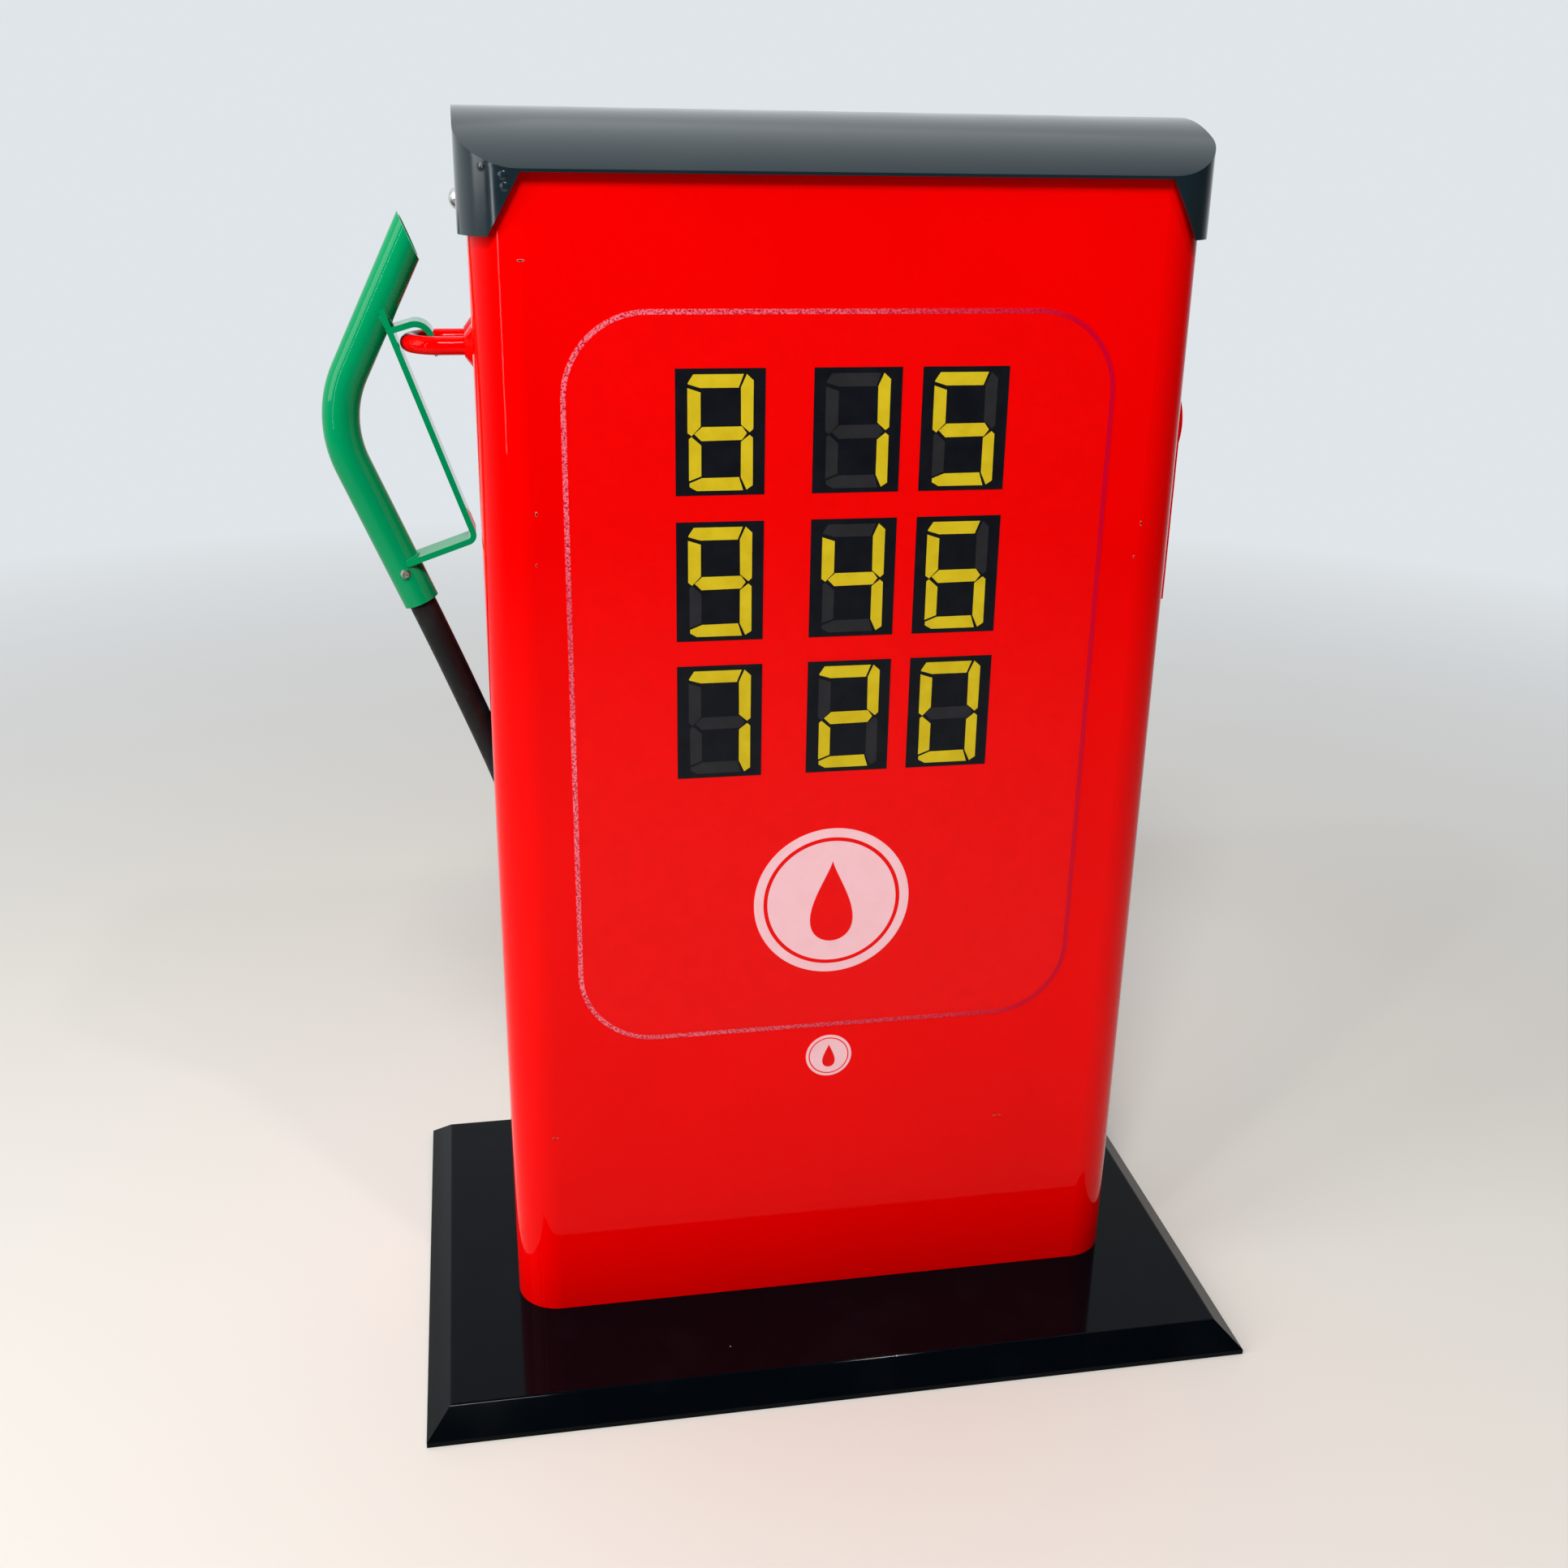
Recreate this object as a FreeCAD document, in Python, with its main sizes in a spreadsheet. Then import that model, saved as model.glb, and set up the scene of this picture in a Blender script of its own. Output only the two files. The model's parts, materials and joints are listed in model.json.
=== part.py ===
"""Play fuel pump of painted sheet steel: a rounded cabinet on a folded base tray, under a barrel roof.

A bent-tube nozzle hangs by a hook on a rod loop on the left side, and its rubber hose runs into the cabinet.
Millimetres, +Z up, +X to the right of somebody who faces the digits, -Y towards them.
The origin is on the floor under the middle of the cabinet.
"""

import FreeCAD, Part
import Sketcher

import math
import os

Vector = FreeCAD.Vector
Rotation = FreeCAD.Rotation
Placement = FreeCAD.Placement

doc = FreeCAD.newDocument("PlayFuelPump")
sheet = doc.addObject("Spreadsheet::Sheet", "Sizes")

# ---------------------------------------------------------------- driving dimensions, in mm and degrees
DIMENSIONS = [
    # cabinet
    ("body_width", 480.0),
    ("body_depth", 182.0),
    ("body_corner", 32.0),
    ("panel_wall", 1.5),
    ("foot_flange", 24.0),
    # base tray
    ("base_width", 623.0),
    ("base_depth", 405.0),
    ("base_height", 21.0),
    ("base_lip", 4.0),
    ("base_inset", 18.0),
    ("base_wall", 2.0),
    ("base_return", 14.0),
    ("base_bend", 3.0),
    # roof
    ("roof_overhang", 6.0),
    ("roof_crown", 894.5),
    ("roof_rise", 35.0),
    ("roof_wall", 1.5),
    ("skirt_drop", 74.5),
    ("flap_top_run", 40.0),
    ("flap_bottom_run", 18.0),
    ("slit_width", 1.2),
    ("slit_height", 21.0),
    ("roof_clearance", 0.4),
    # fasteners
    ("screw_shank", 6.0),
    ("screw_head", 14.0),
    ("screw_head_height", 4.5),
    ("hole_clearance", 0.3),
    ("overrun", 1.0),  # how far a cutting form goes past the face that it starts at
    ("bolt_span_x", 300.0),
    ("bolt_head", 10.0),
    ("bolt_head_height", 4.0),
    ("nut_height", 5.0),
    ("roof_screw_drop", 56.5),
    ("bolt_tail", 3.0),
    ("thread_clearance", 0.1),
    ("spacer_size", 12.0),
    # holder on the left side
    ("rod_size", 12.0),
    ("loop_spacing", 44.0),
    ("loop_reach", 47.1),
    ("loop_z", 747.2),
    ("collar_size", 28.0),
    ("collar_height", 5.0),
    ("collar_rim", 1.2),
    ("holder_nut_size", 19.0),
    ("holder_nut_height", 8.0),
    ("holder_tail", 14.0),
    # nozzle
    ("tube_size", 25.0),
    ("tube_wall", 2.0),
    ("tube_end_out", 43.8),
    ("tube_end_drop", 177.2),
    ("tube_lean", 22.5),
    ("tube_grip_length", 138.0),
    ("tube_spout_length", 131.6),
    ("tube_turn", 49.2),
    ("tube_bend", 75.0),
    ("guard_lean", 19.2),
    ("guard_width", 25.0),
    ("guard_thickness", 4.0),
    ("guard_gap", 0.4),
    ("guard_foot", 27.7),
    ("guard_bend", 5.0),
    ("weld_overlap", 1.5),
    ("hook_gap", 0.3),
    ("hook_bend", 10.5),
    ("hook_inset", 10.6),
    ("hook_peak_run", 7.0),
    ("hook_rise", 7.0),
    ("hook_drop", 7.5),
    ("lock_screw_height", 24.0),
    ("lock_screw_shank", 4.0),
    ("lock_screw_head", 7.0),
    ("lock_screw_head_height", 2.2),
    ("recess_length", 3.6),
    ("recess_width", 0.9),
    ("recess_depth", 1.4),
    # hose
    ("hose_clearance", 1.0),
    ("hose_insert", 38.0),
    ("slot_end_clearance", 5.12),
    ("hose_slant", 20.7),
    ("slot_clearance", 2.0),
    ("slot_drop", 115.0),
    ("stop_width", 16.0),
    ("stop_thickness", 3.0),
    ("stop_flange", 34.5),
    # hood on the right side
    ("hood_bottom", 560.0),
    ("hood_top", 733.0),
    ("hood_width", 50.0),
    ("hood_reach", 19.0),
    ("hood_shoulder", 57.0),
    # labels
    ("label_thickness", 0.25),
    ("panel_label_width", 368.5),
    ("panel_label_height", 522.0),
    ("panel_label_corner", 56.0),
    ("panel_label_x", -2.9),
    ("panel_label_z", 516.5),
    ("digit_width", 58.7),
    ("digit_height", 81.5),
    ("digit_row_pitch", 99.15),
    ("digit_bottom_z", 461.1),
    ("digit_left_x", -114.3),
    ("digit_gap_wide", 31.8),
    ("digit_gap_narrow", 13.7),
    ("emblem_size", 115.0),
    ("emblem_x", -2.1),
    ("emblem_z", 359.5),
    ("maker_label_size", 35.0),
    ("maker_label_x", -1.0),
    ("maker_label_z", 230.0),
]

for row, (alias, number) in enumerate(DIMENSIONS, start=1):
    sheet.set(f"A{row}", alias)
    sheet.set(f"B{row}", repr(number))
    sheet.setAlias(f"B{row}", alias)

# Sizes that follow from the ones above
DERIVED = {
    "body_half": "=body_width / 2",
    "body_front": "=-body_depth / 2",
    "roof_corner": "=body_corner + roof_overhang",
    "roof_width": "=body_width + 2 * roof_overhang",
    "roof_depth": "=body_depth + 2 * roof_overhang",
    "roof_radius": "=(pow(roof_depth / 2; 2) + pow(roof_rise; 2)) / (2 * roof_rise)",
    "roof_axis_z": "=roof_crown - roof_radius",
    "skirt_bottom": "=roof_crown - skirt_drop",
    "flap_top_x": "=roof_width / 2 - flap_top_run",
    "flap_bottom_x": "=roof_width / 2 - flap_bottom_run",
    "roof_screw_z": "=roof_crown - roof_screw_drop",
    "tube_end_x": "=-body_half - tube_end_out",
    "tube_end_z": "=loop_z - tube_end_drop",
    "slot_z": "=tube_end_z - slot_drop",
    "hose_size": "=tube_size - 2 * tube_wall - 2 * hose_clearance",
    "slot_width": "=hose_size + 2 * slot_clearance",
    "slot_height": "=hose_size / sin(hose_slant * pi / 180) + 2 * slot_end_clearance",
    "roof_fall": "=roof_radius - roof_wall - sqrt(pow(roof_radius - roof_wall; 2) - pow(body_depth / 2; 2))",
    "body_top": "=roof_crown - roof_wall - roof_fall - roof_clearance",
}
for row, (alias, formula) in enumerate(DERIVED.items(), start=len(DIMENSIONS) + 2):
    sheet.set(f"A{row}", alias)
    sheet.set(f"B{row}", formula)
    sheet.setAlias(f"B{row}", alias)
doc.recompute()


def size(alias):
    """The number that a cell of the sheet holds."""
    return float(getattr(sheet, alias))


def formula_value(expression):
    """The number that an expression on the sheet gives."""
    result = sheet.evalExpression(expression)
    return float(getattr(result, "Value", result))


# ---------------------------------------------------------------- helpers
CLEAR_HOLE = "Sizes.screw_shank + 2 * Sizes.hole_clearance"
THREAD_HOLE = "Sizes.screw_shank + Sizes.thread_clearance"
parts = []


def keep(obj, label):
    """Marks obj as a finished sub-part, and label as the name of its file."""
    obj.Label = label
    parts.append(obj)
    return obj


def bind(obj, **expressions):
    """Binds properties of obj, or x, y and z of its Placement, to expressions on the sheet."""
    for name, expression in expressions.items():
        path = f"Placement.Base.{name}" if name in ("x", "y", "z") else name
        obj.setExpression(path, str(expression))
    return obj


def box(name, x, y, z, length, width, height):
    """A block with its low corner at x, y, z."""
    made = doc.addObject("Part::Box", name)
    return bind(made, x=x, y=y, z=z, Length=length, Width=width, Height=height)


def rod(name, axis, x, y, z, diameter, length):
    """A cylinder that starts at x, y, z and runs along axis."""
    made = doc.addObject("Part::Cylinder", name)
    made.Placement.Rotation = Rotation(Vector(0, 0, 1), Vector(*axis))
    return bind(made, x=x, y=y, z=z, Radius=f"({diameter}) / 2", Height=length)


def hexagon(name, axis, x, y, z, across_flats, height):
    """A six-sided nut or bolt head blank that starts at x, y, z and runs along axis."""
    made = doc.addObject("Part::Prism", name)
    made.Polygon = 6
    made.Placement.Rotation = Rotation(Vector(0, 0, 1), Vector(*axis))
    return bind(made, x=x, y=y, z=z, Circumradius=f"({across_flats}) / sqrt(3)", Height=height)


def cut(name, base, tool):
    made = doc.addObject("Part::Cut", name)
    made.Base, made.Tool = base, tool
    return made


def common(name, *shapes):
    made = doc.addObject("Part::MultiCommon", name)
    made.Shapes = list(shapes)
    return made


def fuse(name, *shapes):
    made = doc.addObject("Part::MultiFuse", name)
    made.Shapes = list(shapes)
    return made


def group(name, *shapes):
    """Several separate solids as one sub-part."""
    made = doc.addObject("Part::Compound", name)
    made.Links = list(shapes)
    return made


def feature(name, shape):
    made = doc.addObject("Part::Feature", name)
    made.Shape = shape
    return made


def rounded_sketch(body, name, plane, width, depth, corner):
    """A rounded rectangle about the origin of one of the body's planes."""
    wide, deep, round_corner = (formula_value(e) for e in (width, depth, corner))
    sketch = body.newObject("Sketcher::SketchObject", name)
    origin_plane = next(f for f in body.Origin.OriginFeatures if f.Role == plane)
    sketch.AttachmentSupport = [(origin_plane, "")]
    sketch.MapMode = "FlatFace"
    half_x, half_y = wide / 2, deep / 2
    near_x, near_y = half_x - round_corner, half_y - round_corner
    ends = [
        ((-near_x, -half_y), (near_x, -half_y)),
        ((half_x, -near_y), (half_x, near_y)),
        ((near_x, half_y), (-near_x, half_y)),
        ((-half_x, near_y), (-half_x, -near_y)),
    ]
    centres = [(near_x, -near_y), (near_x, near_y), (-near_x, near_y), (-near_x, -near_y)]
    for start, end in ends:
        sketch.addGeometry(Part.LineSegment(Vector(*start, 0), Vector(*end, 0)), False)
    for turn, centre in enumerate(centres):
        circle = Part.Circle(Vector(*centre, 0), Vector(0, 0, 1), round_corner)
        start_angle = (turn - 1) * math.pi / 2
        sketch.addGeometry(Part.ArcOfCircle(circle, start_angle, start_angle + math.pi / 2), False)
    constraint = Sketcher.Constraint
    for side in range(4):
        sketch.addConstraint(constraint("Tangent", side, 2, 4 + side, 1))
        sketch.addConstraint(constraint("Tangent", 4 + side, 2, (side + 1) % 4, 1))
    for side, direction in enumerate(("Horizontal", "Vertical", "Horizontal", "Vertical")):
        sketch.addConstraint(constraint(direction, side))
    for arc in (5, 6, 7):
        sketch.addConstraint(constraint("Equal", 4, arc))
    sketch.addConstraint(constraint("Symmetric", 0, 1, 2, 1, -1, 1))
    named = [
        ("across", constraint("DistanceX", 3, 1, 1, 1, wide), width),
        ("along", constraint("DistanceY", 0, 1, 2, 2, deep), depth),
        ("corner", constraint("Radius", 4, round_corner), corner),
    ]
    for label, made, expression in named:
        sketch.renameConstraint(sketch.addConstraint(made), label)
        sketch.setExpression(f"Constraints.{label}", expression)
    return sketch


def rounded_prism(name, plane, width, depth, corner, height):
    """A PartDesign body: one rounded rectangle, padded by height along the plane's normal."""
    body = doc.addObject("PartDesign::Body", name)
    sketch = rounded_sketch(body, f"{name}_outline", plane, width, depth, corner)
    pad = body.newObject("PartDesign::Pad", f"{name}_pad")
    pad.Profile = sketch
    pad.setExpression("Length", height)
    body.Tip = pad
    return body


def path_wire(points, radii):
    """Straight runs through the points, joined by tangent arcs of the given radii."""
    edges, start = [], points[0]
    for before, corner, after, radius in zip(points, points[1:], points[2:], radii):
        into = (corner - before).normalize()
        out = (after - corner).normalize()
        half_turn = into.getAngle(out) / 2
        setback = radius * math.tan(half_turn)
        first, last = corner - into * setback, corner + out * setback
        towards = (out - into).normalize()
        middle = corner + towards * (radius / math.cos(half_turn) - radius)
        if (first - start).Length > 1e-6:
            edges.append(Part.LineSegment(start, first).toShape())
        edges.append(Part.Arc(first, middle, last).toShape())
        start = last
    edges.append(Part.LineSegment(start, points[-1]).toShape())
    return Part.Wire(edges)


def swept_rod(points, radii, diameter):
    """A round bar or the core of a tube along a bent path."""
    start = points[0]
    circle = Part.Circle(start, (points[1] - start).normalize(), diameter / 2)
    return path_wire(points, radii).makePipeShell([Part.Wire(circle.toShape())], True, False)


def swept_strap(points, radii, width, thickness):
    """A flat bar, width along Y, bent in the XZ plane."""
    start = points[0]
    along = (points[1] - start).normalize()
    side = Vector(0, width / 2, 0)
    up = along.cross(Vector(0, 1, 0)) * (thickness / 2)
    corners = [start + side + up, start - side + up, start - side - up, start + side - up]
    profile = Part.makePolygon(corners + corners[:1])
    return path_wire(points, radii).makePipeShell([profile], True, False)


# ---------------------------------------------------------------- base tray
def base_plate():
    """A folded tray: low lip, sloping sides, flat top and a flange turned in along the floor."""

    def sloped(name, shrink, low, high):
        wedge = doc.addObject("Part::Wedge", name)
        wedge.Placement.Rotation = Rotation(Vector(1, 0, 0), 90)
        for prefix, across in (("X", "Sizes.base_width"), ("Z", "Sizes.base_depth")):
            half = f"({across} / 2 - {shrink})"
            bind(wedge, **{f"{prefix}min": f"-{half}", f"{prefix}max": half})
            top = f"({half} - Sizes.base_inset)"
            bind(wedge, **{f"{prefix}2min": f"-{top}", f"{prefix}2max": top})
        return bind(wedge, Ymin=low, Ymax=high)

    def slab(name, shrink, low, height):
        half_x, half_y = f"(Sizes.base_width / 2 - {shrink})", f"(Sizes.base_depth / 2 - {shrink})"
        return box(name, f"-{half_x}", f"-{half_y}", low, f"2 * {half_x}", f"2 * {half_y}", height)

    outer = fuse(
        "base_outer",
        slab("base_lip_block", "0", "0", "Sizes.base_lip"),
        sloped("base_slope", "0", "Sizes.base_lip", "Sizes.base_height"),
    )
    doc.recompute()
    top = size("base_height")
    rim = [edge for edge in outer.Shape.Edges if all(abs(v.Z - top) < 1e-6 for v in edge.Vertexes)]
    rounded = feature("base_rounded", outer.Shape.makeFillet(size("base_bend"), rim))
    wall = "Sizes.base_wall"
    hollow = fuse(
        "base_hollow",
        slab("base_lip_hollow", wall, wall, "Sizes.base_lip - Sizes.base_wall"),
        sloped("base_slope_hollow", wall, "Sizes.base_lip", f"Sizes.base_height - {wall}"),
        slab("base_mouth", "Sizes.base_return", "0", "Sizes.base_lip"),
    )
    holes = [
        rod(f"base_hole_{i}", (0, 0, 1), x, y, "0", CLEAR_HOLE, "Sizes.base_height + Sizes.overrun")
        for i, (x, y) in enumerate(bolt_places())
    ]
    shell = cut("base_shell", rounded, hollow)
    return keep(cut("base_tray", shell, fuse("base_holes", *holes)), "base_plate")


def bolt_places():
    """Where bolts hold the cabinet's foot flange: four along front and back, one at each end."""
    inset = "(Sizes.panel_wall + Sizes.foot_flange / 2)"
    row_y = f"(Sizes.body_depth / 2 - {inset})"
    end_x = f"(Sizes.body_half - {inset})"
    half_span = "Sizes.bolt_span_x / 2"
    corners = [(f"{sx}{half_span}", f"{sy}{row_y}") for sx in ("", "-") for sy in ("", "-")]
    return corners + [(end_x, "0"), (f"-{end_x}", "0")]


def base_fasteners():
    """Hexagon bolts up through the tray and the foot flange, with nuts inside the cabinet."""
    under = "Sizes.base_height - Sizes.base_wall"
    flange_top = "Sizes.base_height + Sizes.panel_wall"
    bolts, nuts = [], []
    for i, (x, y) in enumerate(bolt_places()):
        head_z = f"{under} - Sizes.bolt_head_height"
        head = hexagon(f"bolt_head_{i}", (0, 0, 1), x, y, head_z, "Sizes.bolt_head", "Sizes.bolt_head_height")
        reach = "Sizes.base_wall + Sizes.panel_wall + Sizes.nut_height + Sizes.bolt_tail"
        shank = rod(f"bolt_shank_{i}", (0, 0, 1), x, y, under, "Sizes.screw_shank", reach)
        bolts.append(fuse(f"bolt_{i}", head, shank))
        blank = hexagon(f"nut_blank_{i}", (0, 0, 1), x, y, flange_top, "Sizes.bolt_head", "Sizes.nut_height")
        bore = rod(f"nut_bore_{i}", (0, 0, 1), x, y, flange_top, THREAD_HOLE, "Sizes.nut_height")
        nuts.append(cut(f"nut_{i}", blank, bore))
    keep(group("bolt_set", *bolts), "base_bolts")
    keep(group("nut_set", *nuts), "base_nuts")


# ---------------------------------------------------------------- cabinet
def body_shell():
    """One wrapped sheet with rounded corners, open at the top, with a foot flange turned inwards."""
    height = "Sizes.body_top - Sizes.base_height"
    outer = rounded_prism(
        "cabinet_outer", "XY_Plane", "Sizes.body_width", "Sizes.body_depth", "Sizes.body_corner", height
    )
    wall = "Sizes.panel_wall"
    room = rounded_prism(
        "cabinet_room",
        "XY_Plane",
        f"Sizes.body_width - 2 * {wall}",
        f"Sizes.body_depth - 2 * {wall}",
        f"Sizes.body_corner - {wall}",
        height,
    )
    mouth_shrink = f"2 * ({wall} + Sizes.foot_flange)"
    mouth = rounded_prism(
        "cabinet_mouth",
        "XY_Plane",
        f"Sizes.body_width - {mouth_shrink}",
        f"Sizes.body_depth - {mouth_shrink}",
        f"Sizes.body_corner - {wall} - Sizes.foot_flange",
        height,
    )
    bind(outer, z="Sizes.base_height")
    bind(room, z=f"Sizes.base_height + {wall}")
    below = "Sizes.base_height - Sizes.overrun"
    through = f"{wall} + 2 * Sizes.overrun"
    bind(mouth, z=below)
    holes = [
        rod(f"foot_hole_{i}", (0, 0, 1), x, y, below, CLEAR_HOLE, through)
        for i, (x, y) in enumerate(bolt_places())
    ]
    across = "Sizes.body_width + 2 * Sizes.overrun"
    low_x = "-Sizes.body_half - Sizes.overrun"
    holes.append(rod("roof_screw_hole", (1, 0, 0), low_x, "0", "Sizes.roof_screw_z", CLEAR_HOLE, across))
    leg_hole = "Sizes.rod_size + 2 * Sizes.hole_clearance"
    for name, y in (("front", "-Sizes.loop_spacing / 2"), ("back", "Sizes.loop_spacing / 2")):
        holes.append(rod(f"leg_hole_{name}", (1, 0, 0), low_x, y, "Sizes.loop_z", leg_hole, through))
    holes.append(hose_slot())
    hollow = fuse("cabinet_hollow", room, mouth, *holes)
    return keep(cut("cabinet", outer, hollow), "body_shell")


def hose_slot():
    """The upright slot with round ends that the hose goes through, in the left side."""
    low_x, depth = "-Sizes.body_half - Sizes.overrun", "Sizes.panel_wall + 2 * Sizes.overrun"
    straight = "(Sizes.slot_height - Sizes.slot_width)"
    middle = box(
        "slot_middle",
        low_x,
        "-Sizes.slot_width / 2",
        f"Sizes.slot_z - {straight} / 2",
        depth,
        "Sizes.slot_width",
        straight,
    )
    ends = []
    for name, sign in (("top", "+"), ("bottom", "-")):
        z = f"Sizes.slot_z {sign} {straight} / 2"
        ends.append(rod(f"slot_{name}", (1, 0, 0), low_x, "0", z, "Sizes.slot_width", depth))
    return fuse("slot", middle, *ends)


# ---------------------------------------------------------------- roof
def barrel(name, radius, length):
    """A lying cylinder about the roof's axis."""
    return rod(name, (1, 0, 0), f"-({length}) / 2", "0", "Sizes.roof_axis_z", f"2 * ({radius})", length)


def roof():
    """A rolled top sheet over two end pieces, whose flaps wrap round the corners."""
    reach = "Sizes.roof_width + 2 * Sizes.overrun"
    rise = "Sizes.roof_crown - Sizes.skirt_bottom + Sizes.overrun"
    inner_radius = "Sizes.roof_radius - Sizes.roof_wall"
    plan = ("XY_Plane", "Sizes.roof_width", "Sizes.roof_depth", "Sizes.roof_corner")
    top_plan = bind(rounded_prism("roof_plan", *plan, rise), z="Sizes.skirt_bottom")
    sheet_roll = cut(
        "roof_roll",
        barrel("roof_outside", "Sizes.roof_radius", reach),
        barrel("roof_inside", inner_radius, reach),
    )
    keep(common("roof_top", sheet_roll, top_plan), "roof_top_sheet")

    for side, name in ((1, "right"), (-1, "left")):
        skirt_outer = bind(rounded_prism(f"skirt_outer_{name}", *plan, rise), z="Sizes.skirt_bottom")
        skirt_room = rounded_prism(
            f"skirt_room_{name}",
            "XY_Plane",
            "Sizes.roof_width - 2 * Sizes.roof_wall",
            "Sizes.roof_depth - 2 * Sizes.roof_wall",
            "Sizes.roof_corner - Sizes.roof_wall",
            f"{rise} + 2 * Sizes.overrun",
        )
        bind(skirt_room, z="Sizes.skirt_bottom - Sizes.overrun")
        skirt = cut(f"skirt_{name}", skirt_outer, skirt_room)
        under = barrel(f"under_roof_{name}", inner_radius, reach)
        end = common(f"roof_end_form_{name}", skirt, under, flap_region(name, side))
        screw_hole = rod(
            f"skirt_hole_{name}",
            (side, 0, 0),
            "Sizes.body_half" if side > 0 else "-Sizes.body_half",
            "0",
            "Sizes.roof_screw_z",
            CLEAR_HOLE,
            "Sizes.roof_overhang + 2 * Sizes.overrun",
        )
        keep(cut(f"roof_end_cut_{name}", end, fuse(f"skirt_cuts_{name}", screw_hole, *slits(name, side))),
             f"roof_end_{name}")


def flap_region(name, side):
    """Everything outside the slanting free edge of the corner flaps on one side."""
    wedge = doc.addObject("Part::Wedge", f"flap_region_{name}")
    turn = Rotation(Vector(1, 0, 0), 90)
    wedge.Placement.Rotation = turn if side > 0 else Rotation(Vector(0, 0, 1), 180) * turn
    run = "Sizes.flap_bottom_x - Sizes.flap_top_x"
    drop = "Sizes.roof_crown - Sizes.roof_rise - Sizes.skirt_bottom"
    slope = f"({run}) / ({drop})"
    height = "(Sizes.roof_crown + Sizes.overrun - Sizes.skirt_bottom)"
    half_depth = "Sizes.roof_depth"
    bind(
        wedge,
        z="Sizes.skirt_bottom",
        Xmin="Sizes.flap_bottom_x",
        X2min=f"Sizes.flap_bottom_x - {slope} * {height}",
        Xmax="Sizes.roof_width",
        X2max="Sizes.roof_width",
        Ymin="0",
        Ymax=height,
        Zmin=f"-{half_depth}",
        Zmax=half_depth,
        Z2min=f"-{half_depth}",
        Z2max=half_depth,
    )
    return wedge


def slits(name, side):
    """The relief slits where each corner flap starts, at the front and the back."""
    made = []
    outside = "Sizes.roof_width / 2"
    low_x = f"{outside} - Sizes.roof_wall - Sizes.overrun" if side > 0 else f"-{outside} - Sizes.overrun"
    for place, sign in (("front", "-"), ("back", "")):
        y = f"{sign}(Sizes.roof_depth / 2 - Sizes.roof_corner) - Sizes.slit_width / 2"
        made.append(
            box(
                f"slit_{name}_{place}",
                low_x,
                y,
                "Sizes.skirt_bottom - Sizes.overrun",
                "Sizes.roof_wall + 2 * Sizes.overrun",
                "Sizes.slit_width",
                "Sizes.slit_height + Sizes.overrun",
            )
        )
    return made


def roof_fasteners():
    """A dome-head screw through each skirt, a spacer sleeve in the gap and a nut inside the cabinet."""
    screws, spacers, nuts = [], [], []
    outside = "Sizes.roof_width / 2"
    inside = "Sizes.body_half - Sizes.panel_wall"
    z = "Sizes.roof_screw_z"
    for side, sign in ((1, ""), (-1, "-")):
        name = "right" if side > 0 else "left"
        out, back = (side, 0, 0), (-side, 0, 0)
        dome = doc.addObject("Part::Sphere", f"dome_{name}")
        squares = "pow(Sizes.screw_head / 2; 2) + pow(Sizes.screw_head_height; 2)"
        radius = f"({squares}) / (2 * Sizes.screw_head_height)"
        bind(dome, x=f"{sign}({outside} + Sizes.screw_head_height - {radius})", y="0", z=z, Radius=radius)
        head_room = rod(f"dome_room_{name}", out, f"{sign}{outside}", "0", z, "Sizes.screw_head",
                        "Sizes.screw_head_height")
        head = common(f"screw_head_{name}", dome, head_room)
        length = f"{outside} - ({inside}) + Sizes.nut_height + Sizes.bolt_tail"
        shank = rod(f"screw_shank_{name}", back, f"{sign}{outside}", "0", z, "Sizes.screw_shank", length)
        screws.append(fuse(f"screw_{name}", head, shank))
        gap = "Sizes.roof_overhang - Sizes.roof_wall"
        start = f"{sign}Sizes.body_half"
        sleeve = rod(f"sleeve_{name}", out, start, "0", z, "Sizes.spacer_size", gap)
        sleeve_bore = rod(f"sleeve_bore_{name}", out, start, "0", z, CLEAR_HOLE, gap)
        spacers.append(cut(f"spacer_{name}", sleeve, sleeve_bore))
        nut_start = f"{sign}({inside})"
        place = (back, nut_start, "0", z)
        blank = hexagon(f"roof_nut_blank_{name}", *place, "Sizes.bolt_head", "Sizes.nut_height")
        bore = rod(f"roof_nut_bore_{name}", *place, THREAD_HOLE, "Sizes.nut_height")
        nuts.append(cut(f"roof_nut_{name}", blank, bore))
    keep(group("roof_screw_set", *screws), "roof_screws")
    keep(group("roof_spacer_set", *spacers), "roof_spacers")
    keep(group("roof_nut_set", *nuts), "roof_nuts")


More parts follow.
